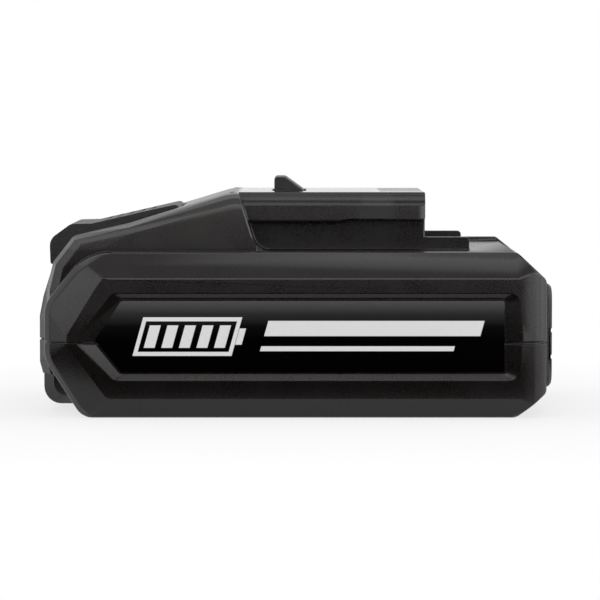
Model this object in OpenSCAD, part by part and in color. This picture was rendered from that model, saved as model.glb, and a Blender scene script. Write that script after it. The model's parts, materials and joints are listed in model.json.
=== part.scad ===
// Slide-on battery pack for cordless tools: five round cells in one row inside a two-part housing
// with slide rails, a rear bumper and a sprung release latch.
// X runs along the slide from the button end to the terminal end, Z is up, sizes are in millimetres.

/* [Cells] */
// Diameter of one cell with its wrap
cell_d = 18.4; // [17.8:0.1:18.8]
// Length of one cell over its cap
cell_l = 65; // [63:0.5:67]
// Space between neighbouring cells
cell_gap = 0.5; // [0.4:0.1:0.9]
// Wall of the holder round a cell
holder_t = 0.9; // [0.7:0.1:1.2]
// Reach of each holder along the cells
holder_grip = 14; // [10:1:18]
// Room from the cell to the holder bore
bore_gap = 0.1; // [0.05:0.05:0.2]
// Thickness of the nickel links
link_t = 0.3; // [0.2:0.05:0.4]
// Width of the nickel links
link_w = 8; // [6:0.5:9]
// Width of the tongue from a link to the board
tongue_w = 5; // [3:0.5:6]
// Thickness of the foam under the cells
foam_t = 1; // [0.6:0.1:1.6]

/* [Housing] */
// Wall of both shells
wall = 2.5; // [2.2:0.1:2.8]
// Room from the holder to the end walls
end_room = 5.6; // [5.4:0.1:7]
// Room from the cell ends to the side walls
side_room = 0.9; // [0.7:0.1:1.4]
// Height of the lower shell
split_z = 17; // [16:0.5:18]
// Room above the circuit board
board_room = 6.8; // [6:0.1:8]
// Length of the sloped corner under the front
chin_x = 8.3; // [6:0.1:9]
// Height of the sloped corner under the front
chin_z = 13; // [11:0.5:14]
// Length of the sloped corner above the front
brow_x = 9.3; // [7:0.1:10]
// Height of the sloped corner above the front
brow_z = 11.4; // [9:0.1:12]
// Radius of the bend from the deck to the front slope
brow_r = 12; // [6:0.5:13]
// Length of the sloped corner at the rear top
tail_x = 6.5; // [4:0.1:8]
// Height of the sloped corner at the rear top
tail_z = 6.1; // [4:0.1:8]
// Length of the sloped corner at the rear bottom
foot_x = 6.7; // [4:0.1:7]
// Height of the sloped corner at the rear bottom
foot_z = 5.5; // [4:0.1:6]
// Reach of the front panel past the front wall
nose_out = 2; // [1:0.1:3]
// Width of the front panel
nose_w = 48; // [44:1:52]
// Width of the heel under the front panel
heel_w = 38; // [30:1:40]

/* [Side panels] */
// Depth of the label recess at the joint line
recess_d = 1.2; // [1:0.1:1.8]
// Fall of the flat side from the joint line to its long edges
draft_d = 0.5; // [0.3:0.05:0.7]
// Width of the bevel beside the deck
deck_bevel = 4; // [3:0.1:5]
// Width of the bevel beside the foot
foot_bevel = 3; // [2:0.1:4]
// Drop from the deck to the flat side
panel_top = 5.6; // [4.5:0.1:7]
// Rise from the foot to the flat side
panel_low = 4.4; // [3.5:0.1:5.5]
// Step from the front to the flat side
panel_front = 5.2; // [4.5:0.1:6]
// Step from the rear to the flat side
panel_rear = 6.1; // [5.6:0.1:7]
// Length of the turned strip behind the flat side
turn_l = 3.3; // [2.8:0.1:3.4]
// Depth of the turned strip at its rear edge
turn_d = 0.8; // [0.6:0.05:1]
// Height of the pointed front of the flat side
tip_z = 17.6; // [16:0.1:19]
// Border above the label recess
recess_top = 2.8; // [2:0.1:5]
// Border below the label recess
recess_low = 3.8; // [3:0.1:6]
// Border in front of the label recess
recess_front = 2.2; // [1.5:0.1:4]
// Reach of the label recess into the turned strip
recess_rear = 0.7; // [0.3:0.1:1]
// Slope of the recess end walls, along
slope_x = 3.6; // [2:0.1:5]
// Slope of the recess long walls, upright
slope_z = 1.6; // [1:0.1:2.2]
// Height of the seam groove along the joint
seam_h = 0.4; // [0.3:0.05:0.6]
// Depth of the seam groove
seam_d = 0.4; // [0.3:0.05:0.5]
// Thickness of a side label
label_t = 0.3; // [0.2:0.05:0.5]
// Gap round a side label
label_gap = 0.6; // [0.3:0.1:1.2]

/* [Rails] */
// Height from the deck to the rail underside
neck_h = 6.6; // [5.6:0.1:7.4]
// Height of the rail side
rail_t = 3.5; // [3:0.1:4.5]
// Height of the platform above the rail
cap_t = 3.1; // [2.6:0.1:4]
// Width across the neck
neck_w = 40; // [38:0.5:42]
// Overhang of a rail past the neck
rail_out = 4; // [3:0.1:5]
// Step in from the rail edge to the platform top
cap_in = 2; // [1:0.1:2.6]
// Rear end of the platform, from the middle
plat_end = 29.3; // [28.5:0.1:31]
// Wall of the neck
neck_wall = 2; // [1.6:0.1:2.4]
// Roof of the platform
roof_t = 2.2; // [1.8:0.1:2.6]
// Cut under the rail at its lead-in
lead_cut = 0.7; // [0.3:0.1:1.2]
// Start of the lead-in, from the middle
lead_x = 10; // [6:0.5:16]
// Length of the guide ribs behind the platform
guide_l = 10.1; // [6:0.1:12]
// Height of the guide ribs
guide_h = 3; // [2:0.1:4]
// Height of the coding rib on the far edge of the deck
code_h = 1.1; // [0.6:0.1:1.6]

/* [Shoulder] */
// Ledge of deck beside the shoulder
ledge = 4; // [3:0.1:5]
// Edge bevel of the shoulder
shoulder_edge = 2.4; // [1.5:0.1:3]
// Front corner of the shoulder, from the front wall
crown_x = 6; // [5:0.1:7]
// Front corner of the shoulder, above the deck
crown_z = 3.4; // [2.6:0.1:4.2]
// Bend in the shoulder slope, from the front wall
bend_x = 23.5; // [20:0.5:26]
// Bend in the shoulder slope, above the deck
bend_z = 7.4; // [6.8:0.1:8]
// Rear end of the shoulder at its top, from the front wall
shoulder_l = 43.2; // [42:0.1:45]
// Lean of the shoulder's rear end
shoulder_lean = 4.2; // [2:0.1:5]

/* [Latch] */
// Width of the release button
button_w = 32; // [28:0.5:34]
// Height of the button above the shoulder slope
button_up = 1.7; // [1:0.1:2.4]
// Length of the button from its nose
button_l = 29.7; // [28:0.1:30.5]
// Walls of the latch moulding
latch_t = 2.2; // [1.8:0.1:2.4]
// Travel of the latch
travel = 4; // [3.6:0.1:4.2]
// Gap round the latch where it slides
latch_gap = 0.4; // [0.3:0.05:0.6]
// Front face of the hook, from the middle
hook_x = -4.9; // [-6:0.1:-4]
// Height of the hook above the platform
hook_h = 3.2; // [2.4:0.1:3.4]
// Length of the flat top of the hook
hook_flat = 2.5; // [1.5:0.1:3.5]
// Length of the ramp behind the hook
hook_ramp = 4.3; // [3:0.1:5]
// Width of the hook
hook_w = 20; // [16:0.5:22]
// Mean radius of a latch spring
coil_r = 2.6; // [2.4:0.1:3]
// Wire diameter of a latch spring
wire_d = 0.7; // [0.5:0.05:0.8]
// Distance of each spring from the middle plane
spring_y = 9; // [7:0.5:9.5]

/* [Electronics] */
// Thickness of the circuit board
board_t = 1.6; // [1.2:0.1:2]
// Margin of the circuit board past the terminal block
board_rim = 7.3; // [6.8:0.1:8]
// Height of the board posts
post_h = 2.2; // [1.8:0.1:3]
// Length of the terminal block
block_l = 16.6; // [15:0.1:18]
// Step in from the side of the terminal block to a power contact
power_in = 5.2; // [4.7:0.1:5.6]
// Distance between signal contacts
signal_step = 5; // [4.6:0.1:5.4]
// Thickness of the contact metal
contact_t = 0.6; // [0.4:0.05:0.7]
// Length of the contact leaves
leaf_l = 11.4; // [10.6:0.1:12]
// Half width of a power contact
power_half = 2.1; // [1.8:0.1:2.3]
// Half width of a signal contact
signal_half = 1.3; // [1.1:0.05:1.4]
// Height of a power transistor
chip_h = 4.4; // [3:0.1:4.8]
// Length of a power transistor
chip_l = 9; // [7:0.5:10]
// Width of a power transistor
chip_w = 10; // [8:0.5:10.5]
// Gap between power transistors
chip_gap = 2; // [1:0.1:2.4]
// Side of the control chip
control_w = 10; // [8:0.5:12]
// Thickness of the control chip
control_t = 1.4; // [1:0.1:2]
// Length of the current shunt
shunt_l = 12; // [10:0.5:14]
// Width of the current shunt
shunt_w = 4; // [3:0.5:5]
// Height of the current shunt
shunt_h = 2.4; // [1.8:0.1:3]

/* [Fasteners and bumper] */
// Shank diameter of a housing screw
screw_d = 3; // [2.5:0.1:3.2]
// Head diameter of a housing screw
head_d = 5; // [4.6:0.1:5.2]
// Distance of the housing screws from the middle plane
screw_y = 25.5; // [25:0.1:26.5]
// Length of a housing screw below its head
screw_l = 14; // [10:0.5:15]
// Reach of the bumper past the rear wall
bumper_out = 2; // [1:0.1:3]
// Width of the bumper
bumper_w = 48; // [40:1:52]
// Lower edge of the bumper
bumper_low = 5.8; // [5.6:0.1:8]
// Upper edge of the bumper
bumper_top = 29.3; // [27:0.1:30]
// Width of the stem that holds the bumper
stem_w = 28; // [20:1:30]

/* [Hidden] */
$fn = 48;

cell_r = cell_d / 2;
pitch = cell_d + cell_gap;
holder_r = cell_r + holder_t;
row_half = 2 * pitch + holder_r;
in_x = row_half + end_room;
half_l = in_x + wall;
in_y = cell_l / 2 + side_room;
recess_y = in_y + wall;
half_w = recess_y + recess_d;
cell_z = wall + foam_t + holder_r;
tray_z = cell_z + holder_r;
board_z = tray_z + post_h;
board_top = board_z + board_t;
deck_z = board_top + board_room + wall;
rail_low = deck_z + neck_h;
rail_top = rail_low + rail_t;
top_z = rail_top + cap_t;
ceil_z = top_z - roof_t;
neck_y = neck_w / 2;
rail_y = neck_y + rail_out;
cap_y = rail_y - cap_in;
room_y = neck_y - neck_wall;
deck_y = half_w - deck_bevel;
rim_in = 1.3;
rim_d = 1.7;
rear_turns = [[panel_rear - turn_l, turn_d], [1.4, 1.6], [0.5, 2.5]];
crest_r = 4;
edge_steps = [[3, 0], [0.7, 0.36], [0, 1]];
line_t = 0.1;
chin_in = 2.4;
foot_in = 1;
nose_in = 3;
nose_z0 = split_z - 8;
nose_z1 = split_z + 5;
heel_z0 = 1.6;
heel_z1 = nose_z0 + 0.2;
heel_out = nose_out - 0.6;
code_back = 1.6;
code_low = 1;
end_rib_y = 19.6;
end_rib_t = 1.6;
rail_r = 1.5;
groove_zs = [split_z - 4.2, split_z + 1.8];
shoulder_y = deck_y - ledge;

// Outline corners are [x, z, radius], listed clockwise.
body_corners = [
    [-half_l + chin_x, 0, 4], [-half_l, chin_z, 8], [-half_l, deck_z - brow_z, 7],
    [-half_l + brow_x, deck_z, brow_r],
    [half_l - tail_x, deck_z, 1.5], [half_l, deck_z - tail_z, 2], [half_l, foot_z, 1.5],
    [half_l - foot_x, 0, 2]
];
flat_lean = [0.72, 0.615];
recess_lean = [0.82, 0.68];
flat_x0 = -half_l + panel_front;
flat_x1 = half_l - panel_rear;
flat_z0 = panel_low;
flat_z1 = deck_z - panel_top;
rec_x0 = flat_x0 + recess_front;
rec_x1 = flat_x1 + recess_rear;
rec_z0 = flat_z0 + recess_low;
rec_z1 = flat_z1 - recess_top;

crown = [-half_l + crown_x, deck_z + crown_z];
bend = [-half_l + bend_x, deck_z + bend_z];
crest_x = -half_l + shoulder_l - 2;
end_x = -half_l + shoulder_l;
low_z = deck_z - 12;
room_z = deck_z - 16;
slope = (bend[1] - crown[1]) / (bend[0] - crown[0]);
crest_slope = (top_z - bend[1]) / (crest_x - bend[0]);
kink = [bend[0] - 5, bend[1] - 5 * slope];
crest_rise = (top_z - kink[1]) / (crest_x - kink[0]);

function front_corners(z) = [
    [-half_l, z, 0], [-half_l, deck_z - 8.5, 0], [-half_l + 1.5, deck_z - 2.4, 1.5],
    [crown[0], crown[1], 1.2], [bend[0], bend[1], 0], [bend[0], z, 0]
];

button_y = button_w / 2;
button_x0 = -half_l - 0.1;
button_x1 = button_x0 + button_l;
button_low = deck_z - 3.4;
notch_z = button_low - travel - latch_gap;
window_y = button_y + latch_gap;
window_x = button_x1 + latch_gap;
lip_x = button_x0 + 9.6;
hook_y = hook_w / 2;
hook_end = hook_x + hook_flat + hook_ramp;
well_y = hook_y + 2;
well_x0 = hook_x - 3.6;
well_x1 = hook_end + 1.4;
arm_z0 = rail_low - 3.2;
arm_z1 = rail_low - 0.4;
spring_x = -half_l + 16;
pad_z = deck_z + 3.2;
peg_r = coil_r - wire_d / 2 - 0.5;
button_corners = [
    [button_x0 + 0.2, button_low, 0.6], [button_x0, deck_z + 2.3, 3],
    [button_x0 + 4.8, button_line(lip_x) - 0.1, 2],
    [lip_x, button_line(lip_x), 3], [button_x1, button_line(button_x1), 1.2], [button_x1, button_low, 0]
];

block_x1 = plat_end - wall - 0.2;
block_x0 = block_x1 - block_l;
block_y = room_y - 0.3;
block_z1 = ceil_z - 0.3;
slot_x = block_x1 - 7;
signal_ys = [-signal_step, 0, signal_step];
blade_gap = 0.35;
board_x0 = -34;
board_x1 = row_half - 1.9;
board_y = block_y + board_rim;
power_y = block_y - power_in;
tongue_y = board_y - 3.5;
board_screw_y = board_y - 3.5;
board_spots = [[-pitch, -1], [-pitch, 1], [pitch, -1], [pitch, 1]];

boss_x = half_l - 4.4;
boss_r = screw_d / 2 + 1.1;
base_r = head_d / 2 + 0.9;
seat_z = 11;
screw_spots = [[-1, -1], [-1, 1], [1, -1], [1, 1]];
stem_z0 = split_z - 5;
stem_z1 = split_z + 5;

function xz(c) = [c[0], c[1]];
function unit(v) = v / norm(v);
function button_line(x) = crown[1] + (x - crown[0]) * slope + button_up;
function cell_x(i) = (i - 3) * pitch;

// Corner arc of an outline, between its two straight runs.
function corner_arc(a, b, c, r, n) = r <= 0 ? [b] :
    let (
        d1 = unit(a - b),
        d2 = unit(c - b),
        half = acos(d1 * d2) / 2,
        mid = b + unit(d1 + d2) * r / sin(half),
        p = b + d1 * r / tan(half) - mid,
        q = b + d2 * r / tan(half) - mid,
        a0 = atan2(p[1], p[0]),
        turn = atan2(p[0] * q[1] - p[1] * q[0], p * q)
    )
    [for (i = [0 : n]) mid + r * [cos(a0 + turn * i / n), sin(a0 + turn * i / n)]];

function rounded(c, n = 6) = [
    for (i = [0 : len(c) - 1])
        each corner_arc(xz(c[(i + len(c) - 1) % len(c)]), xz(c[i]), xz(c[(i + 1) % len(c)]), c[i][2], n)
];

function crossing(p, d, q, e) =
    p + d * ((q[0] - p[0]) * e[1] - (q[1] - p[1]) * e[0]) / (d[0] * e[1] - d[1] * e[0]);

// Clockwise outline moved inwards by t.
function inset(c, t) = [
    for (i = [0 : len(c) - 1])
        let (
            b = xz(c[i]),
            d1 = unit(b - xz(c[(i + len(c) - 1) % len(c)])),
            d2 = unit(xz(c[(i + 1) % len(c)]) - b),
            p = crossing(b + t * [d1[1], -d1[0]], d1, b + t * [d2[1], -d2[0]], d2)
        )
        [p[0], p[1], max(0, c[i][2] - t)]
];

// Side panel outline with a pointed front, whose two edges lean back by the given shares.
function panel(x0, x1, z0, z1, lean, h, r, rr) = [
    [x0 + lean[0] * (tip_z - h - z0), z0, r], [x0, tip_z - h, h], [x0, tip_z + h, h],
    [x0 + lean[1] * (z1 - tip_z - h), z1, r], [x1, z1, rr], [x1, z0, rr]
];

flat_corners = panel(flat_x0, flat_x1, flat_z0, flat_z1, flat_lean, 1, 2, 0);
recess_corners = panel(rec_x0, rec_x1, rec_z0, rec_z1, recess_lean, 0.5, 2.5, 2.2);
floor_corners = panel(
    rec_x0 + slope_x, rec_x1 - slope_x, rec_z0 + slope_z, rec_z1 - slope_z, recess_lean, 0.4, 1.5, 1);

// Slab from an upright outline, the same on both sides of the middle plane.
module slab(y) {
    rotate([90, 0, 0])
        linear_extrude(2 * y, center = true)
            children();
}

// Upright plate between two distances from the middle plane.
module plate(y0, y1) {
    translate([0, y1, 0])
        rotate([90, 0, 0])
            linear_extrude(y1 - y0)
                children();
}

// Bar along X from a cross-section drawn in Y and Z.
module bar(x0, x1) {
    translate([x0, 0, 0])
        rotate([90, 0, 90])
            linear_extrude(x1 - x0)
                children();
}

module block(x0, x1, y0, y1, z0, z1) {
    translate([x0, y0, z0])
        cube([x1 - x0, y1 - y0, z1 - z0]);
}

module both_sides() {
    children();
    mirror([0, 1, 0])
        children();
}

// Fall of the sides from the joint line to the deck and to the foot.
deck_fall = draft_d * (deck_z - split_z) / (flat_z1 - split_z);
foot_fall = draft_d * split_z / (split_z - flat_z0);
wall_d = deck_bevel - deck_fall;

// Height of the long bevels at a depth d behind the flat side.
function bevel_low(d) = max(0, panel_low * (1 - d / (foot_bevel - foot_fall)));
function bevel_top(d) = flat_z1 + panel_top * d / wall_d;

// Height of the tail slope at a distance t from the rear wall.
function tail_line(t) = deck_z - tail_z * (tail_x - t) / tail_x;

// Slice of the near side at a depth d, from x0 to x1 and between the joint line and a long bevel.
module side_slice(upper, d, x0, x1) {
    z0 = upper ? split_z - 1 : bevel_low(d);
    z1 = upper ? bevel_top(d) : split_z + 1;
    plate(d - half_w, d - half_w + line_t)
        intersection() {
            children();
            translate([x0, z0])
                square([x1 - x0, z1 - z0]);
        }
}

// Outside form of one shell before the panels are cut, with sides that fall away from the joint line.
module body_form(upper) {
    fall = upper ? deck_fall / (deck_z - split_z) : -foot_fall / split_z;
    hull()
        both_sides()
            multmatrix([[1, 0, 0, 0], [0, 1, fall, -fall * split_z], [0, 0, 1, 0], [0, 0, 0, 1]]) {
                side_slice(upper, 0, -half_l, flat_x1)
                    polygon(rounded(flat_corners));
                side_slice(upper, rim_d, -half_l, flat_x1)
                    polygon(rounded(inset(body_corners, rim_in)));
                for (turn = rear_turns)
                    side_slice(upper, turn[1], flat_x1, half_l - turn[0])
                        polygon([for (c = body_corners) xz(c)]);
                side_slice(upper, wall_d, -half_l, half_l)
                    polygon(rounded(body_corners));
                if (!upper)
                    side_slice(upper, foot_bevel - foot_fall, -half_l, half_l - foot_x - foot_in)
                        translate([-half_l + chin_x + chin_in, 0])
                            square([2 * half_l, line_t]);
            }
}

// Front panel that stands out from the front wall.
module nose_form() {
    corners = [
        [-half_l + 3, nose_z0, 0], [-half_l - nose_out + 0.7, nose_z0, 0],
        [-half_l - nose_out, nose_z0 + 2.6, 1.5],
        [-half_l - nose_out, nose_z1, 4], [-half_l - nose_out + 0.9, nose_z1 + 4.6, 4],
        [-half_l + 1.3, deck_z - 2.6, 0], [-half_l + 3, deck_z - 2.6, 0]
    ];
    hull() {
        slab(nose_w / 2 - nose_in)
            polygon(rounded(corners, 4));
        slab(nose_w / 2)
            translate([nose_out, 0])
                polygon(rounded(corners, 4));
    }
}

module heel_form() {
    hull() {
        slab(heel_w / 2 - 2.5)
            polygon(rounded([
                [-half_l + 9, heel_z0, 0], [-half_l - heel_out, heel_z0, 4],
                [-half_l - heel_out, heel_z1, 0.4],
                [-half_l + 5, heel_z1, 0]
            ]));
        slab(heel_w / 2)
            polygon(rounded([
                [-half_l + 9, heel_z0 + 2, 0], [-half_l + 1, heel_z0 + 2, 3], [-half_l + 1, heel_z1, 0.4],
                [-half_l + 5, heel_z1, 0]
            ]));
    }
}

// Sloped pocket for a side label, cut on the near side.
module recess_cut() {
    hull() {
        plate(-half_w - 2, -half_w)
            polygon(rounded(recess_corners, 5));
        plate(-recess_y - 0.1, -recess_y)
            polygon(rounded(floor_corners, 5));
    }
}

module cavity() {
    slab(in_y)
        polygon(rounded(inset(body_corners, wall), 5));
}

// Shoulder that carries the latch, with bevelled edges.
module shoulder_form() {
    difference() {
        union() {
            hull() {
                for (step = edge_steps)
                    slab(shoulder_y - step[0])
                        polygon(rounded(inset(front_corners(low_z), step[1] * shoulder_edge), 4));
            }
            hull() {
                for (step = edge_steps)
                    slab(shoulder_y - step[0])
                        translate([kink[0], low_z])
                            square([line_t, kink[1] - low_z - step[1] * shoulder_edge * norm([1, slope])]);
                for (a = [0 : 22.5 : 90])
                    slab(shoulder_y - crest_r * (1 - sin(a)))
                        polygon(rounded(inset(crest_corners, crest_r * (1 - cos(a))), 8));
            }
        }
        slab(half_w)
            polygon(rounded([
                [end_x - 0.3, top_z + 1, 0], [end_x + shoulder_lean + 8, top_z + 1, 0],
                [end_x + shoulder_lean + 8, deck_z, 0], [end_x + shoulder_lean, deck_z, 4]
            ], 6));
    }
}

// Rear of the shoulder, where its edge has grown to a round one.
crest_corners = [
    [bend[0] + 2, low_z, 0], [bend[0] + 2, kink[1] + (bend[0] + 2 - kink[0]) * crest_rise, 0],
    [crest_x, top_z, 12], [end_x + 8, top_z, 0], [end_x + 8, low_z, 0]
];

module shoulder_room() {
    slab(shoulder_y - wall)
        polygon(rounded(inset(front_corners(room_z), wall), 4));
    slab(shoulder_y - wall)
        polygon(rounded(inset([
            [bend[0] - wall - 6, room_z, 0], [bend[0] - wall - 6, bend[1] - (wall + 6) * slope, 0],
            [bend[0], bend[1], 0],
            [end_x, bend[1] + (end_x - bend[0]) * crest_slope, 0], [end_x, room_z, 0]
        ], wall)));
}

// Neck, rails and platform in one cross-section.
module platform_form() {
    difference() {
        bar(end_x - 2, plat_end)
            polygon(concat(
                [[-neck_y, deck_z - 1], [-neck_y, rail_low], [-rail_y + 0.3, rail_low],
                 [-rail_y, rail_low + 0.3]],
                cove(-1), [[-cap_y, top_z - 0.5], [-cap_y + 0.5, top_z], [cap_y - 0.5, top_z],
                 [cap_y, top_z - 0.5]],
                [for (i = [4 : -1 : 0]) cove(1)[i]],
                [[rail_y, rail_low + 0.3], [rail_y - 0.3, rail_low], [neck_y, rail_low], [neck_y, deck_z - 1]]
            ));
        both_sides()
            plate(neck_y, rail_y + 1)
                polygon([
                    [lead_x, rail_low - 1], [lead_x, rail_low], [lead_x + 2, rail_low + lead_cut],
                    [plat_end + 1, rail_low + lead_cut], [plat_end + 1, rail_low - 1]
                ]);
        // Rounded rear corners of the rails and platform.
        both_sides()
            difference() {
                block(plat_end - rail_r, plat_end + 1, rail_y - rail_r, rail_y + 1, rail_low - 1, top_z + 1);
                translate([plat_end - rail_r, rail_y - rail_r, rail_low - 2])
                    cylinder(r = rail_r, h = top_z - rail_low + 4);
            }
        slab(rail_y + 1)
            polygon([[plat_end - 1, top_z + 1], [plat_end + 1, top_z + 1], [plat_end + 1, top_z - 1]]);
    }
}

// Hollow curve from the rail edge up to the platform side.
function cove(s) = [
    for (i = [0 : 4])
        [s * (cap_y + cap_in * (1 - sin(i * 22.5))), rail_top + (cap_t - 1) * (1 - cos(i * 22.5))]
];

// Two low ribs that carry the neck on past the platform, and the coding rib.
module deck_ribs() {
    both_sides()
        plate(neck_y - 2, neck_y)
            polygon(rounded([
                [plat_end - 1, deck_z - 1, 0], [plat_end - 1, deck_z + guide_h, 0],
                [plat_end + guide_l, deck_z + guide_h, 0.8], [plat_end + guide_l, deck_z - 1, 0]
            ], 4));
    plate(deck_y - 2.2, deck_y - 0.4)
        polygon([
            [plat_end + 2, deck_z - 1], [plat_end + 2, deck_z + code_h],
            [half_l - tail_x - 1, deck_z + code_h],
            [half_l - code_back, tail_line(code_back) + code_low],
            [half_l - code_back, tail_line(code_back) - 0.6], [half_l - tail_x - 2, deck_z - 1]
        ]);
}

module latch_openings() {
    slab(window_y)
        polygon([
            [-half_l - 6, notch_z], [-half_l - 6, top_z + 5], [window_x, top_z + 5],
            [window_x, deck_z - 1], [-half_l + 14, notch_z]
        ]);
    block(hook_x - latch_gap, hook_end + latch_gap, -hook_y - latch_gap, hook_y + latch_gap, ceil_z - 1,
        top_z + 1);
}

// Ribs that guide the foot of the hook.
module latch_guides() {
    both_sides()
        block(well_x0 + 3, well_x0 + 5, well_y + latch_gap, room_y + 0.5, rail_low - 5, ceil_z + 0.5);
    both_sides()
        block(well_x0 - latch_gap - 1.5, well_x0 - latch_gap, hook_y - 0.5, room_y + 0.5, rail_low - 5,
            ceil_z + 0.5);
    block(well_x1 + latch_gap, well_x1 + latch_gap + 1.5, -room_y - 0.5, room_y + 0.5, rail_low - 5,
        ceil_z + 0.5);
}

module blade_slots(x1) {
    both_sides()
        block(slot_x, x1, power_y - 1.3, power_y + 1.3, rail_low - 2.4, top_z + 1);
    for (y = signal_ys)
        block(slot_x, x1, y - 0.9, y + 0.9, rail_low - 2.4, top_z + 1);
}

module stem_hole(gap) {
    block(in_x - 3, half_l + 1, -stem_w / 2 - gap, stem_w / 2 + gap, stem_z0 - gap, stem_z1 + gap);
}

// Tongue along the joint between the shells.
module joint_tongue(gap) {
    both_sides()
        block(-row_half + 12, row_half - 7, in_y + wall / 2 - 0.4 - gap, in_y + wall / 2 + 0.4 + gap,
            split_z - 1, split_z + 1.2 + gap);
}

module at_screws() {
    for (s = screw_spots)
        translate([s[0] * boss_x, s[1] * screw_y, 0])
            children();
}

// Where the rear wall of the label recess meets the turned strip at the joint.
recess_meet = recess_rear * recess_d / (recess_d + slope_x * turn_d / turn_l);

// Outline of the housing at the joint, one side from the front to the rear, as [x, y].
function joint_side(s) = [
    [-half_l - nose_out, s * (nose_w / 2 - nose_in)], [-half_l, s * nose_w / 2],
    [-half_l, s * (half_w - wall_d)], [-half_l + rim_in, s * (half_w - rim_d)],
    [flat_x0, s * half_w], [rec_x0, s * half_w],
    [rec_x0 + slope_x, s * recess_y], [rec_x1 - slope_x, s * recess_y],
    [flat_x1 + recess_meet, s * (half_w - recess_meet * turn_d / turn_l)],
    for (turn = rear_turns) [half_l - turn[0], s * (half_w - turn[1])],
    [half_l, s * (half_w - wall_d)]
];
joint_loop = concat(joint_side(1), [for (i = [len(joint_side(1)) - 1 : -1 : 0]) joint_side(-1)[i]]);

// Groove that sets the two shells apart, cut round the top of the lower one.
module seam_cut() {
    translate([0, 0, split_z - seam_h])
        linear_extrude(seam_h + 1)
            difference() {
                square([4 * half_l, 4 * half_w], center = true);
                polygon([for (c = inset([for (p = joint_loop) [p[0], p[1], 0]], seam_d)) xz(c)]);
            }
}

module lower_half() {
    block(-half_l - 9, half_l + 9, -half_w - 1, half_w + 1, -1, split_z);
}

module lower_shell() {
    color([0.10, 0.10, 0.11])
    difference() {
        union() {
            difference() {
                intersection() {
                    union() {
                        body_form(false);
                        nose_form();
                        heel_form();
                    }
                    lower_half();
                }
                cavity();
            }
            intersection() {
                slab(in_y)
                    polygon(rounded(inset(body_corners, wall / 2), 5));
                lower_half();
                union() {
                    at_screws()
                        cylinder(r = boss_r, h = split_z);
                    at_screws()
                        cylinder(r = base_r, h = seat_z + 1);
                    for (sx = [-1, 1], sy = [-1, 1])
                        block(min(sx * (row_half + 0.3), sx * half_l), max(sx * (row_half + 0.3),
                            sx * half_l),
                            sy * end_rib_y - end_rib_t / 2, sy * end_rib_y + end_rib_t / 2, 0, split_z - 3);
                }
            }
            joint_tongue(0);
        }
        both_sides()
            recess_cut();
        seam_cut();
        stem_hole(0.1);
        at_screws()
            translate([0, 0, -1])
                cylinder(d = head_d + 0.2, h = seat_z + 1);
        at_screws()
            cylinder(d = screw_d + 0.4, h = split_z + 1);
    }
}

module upper_shell() {
    color([0.11, 0.11, 0.12])
    difference() {
        union() {
            difference() {
                union() {
                    difference() {
                        union() {
                            body_form(true);
                            nose_form();
                        }
                        lower_half();
                    }
                    shoulder_form();
                    platform_form();
                    deck_ribs();
                }
                cavity();
                shoulder_room();
                block(end_x - 6, plat_end - wall, -room_y, room_y, deck_z - 4, ceil_z);
                both_sides()
                    recess_cut();
            }
            at_screws()
                translate([0, 0, split_z])
                    cylinder(r = boss_r, h = deck_z - tail_z + 0.6 - split_z);
            latch_guides();
        }
        latch_openings();
        blade_slots(plat_end + 1);
        stem_hole(0.1);
        joint_tongue(0.1);
        at_screws()
            translate([0, 0, split_z - 1])
                cylinder(d = screw_d + 0.1, h = screw_l + seat_z + 1.6 - split_z);
    }
}

// Rubber pad on the rear wall, held by a stem and a flange behind the wall.
module rear_bumper() {
    color([0.16, 0.16, 0.17])
    difference() {
        union() {
            hull() {
                bar(half_l, half_l + bumper_out - 0.8)
                    polygon(rounded(pad_corners(0), 5));
                bar(half_l, half_l + bumper_out)
                    polygon(rounded(pad_corners(0.8), 5));
            }
            block(in_x - 0.5, half_l + 0.5, -stem_w / 2, stem_w / 2, stem_z0, stem_z1);
            block(in_x - 1.5, in_x, -stem_w / 2 - 2.5, stem_w / 2 + 2.5, stem_z0 - 2, stem_z1 + 2);
        }
        for (z = groove_zs)
            block(half_l + bumper_out - 0.6, half_l + bumper_out + 1, -bumper_w, bumper_w, z - 0.3, z + 0.3);
    }
}

function pad_corners(t) = [
    [-bumper_w / 2 + t, bumper_low + t, 3], [-bumper_w / 2 + t, bumper_top - t, 3],
    [bumper_w / 2 - t, bumper_top - t, 3], [bumper_w / 2 - t, bumper_low + t, 3]
];

module side_label() {
    plate(-recess_y - label_t, -recess_y)
        polygon(rounded(inset(floor_corners, label_gap), 5));
}

module label_right() {
    color([0.04, 0.04, 0.05])
        side_label();
}

module label_left() {
    color([0.04, 0.04, 0.05])
        mirror([0, 1, 0])
            side_label();
}

module housing_screws() {
    color([0.55, 0.55, 0.58])
    at_screws()
        translate([0, 0, seat_z])
            difference() {
                union() {
                    translate([0, 0, -2])
                        cylinder(d = head_d, h = 2);
                    cylinder(d = screw_d, h = screw_l);
                }
                for (a = [0, 90])
                    rotate([0, 0, a])
                        block(-head_d * 0.34, head_d * 0.34, -0.4, 0.4, -3, -0.8);
            }
}

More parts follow.
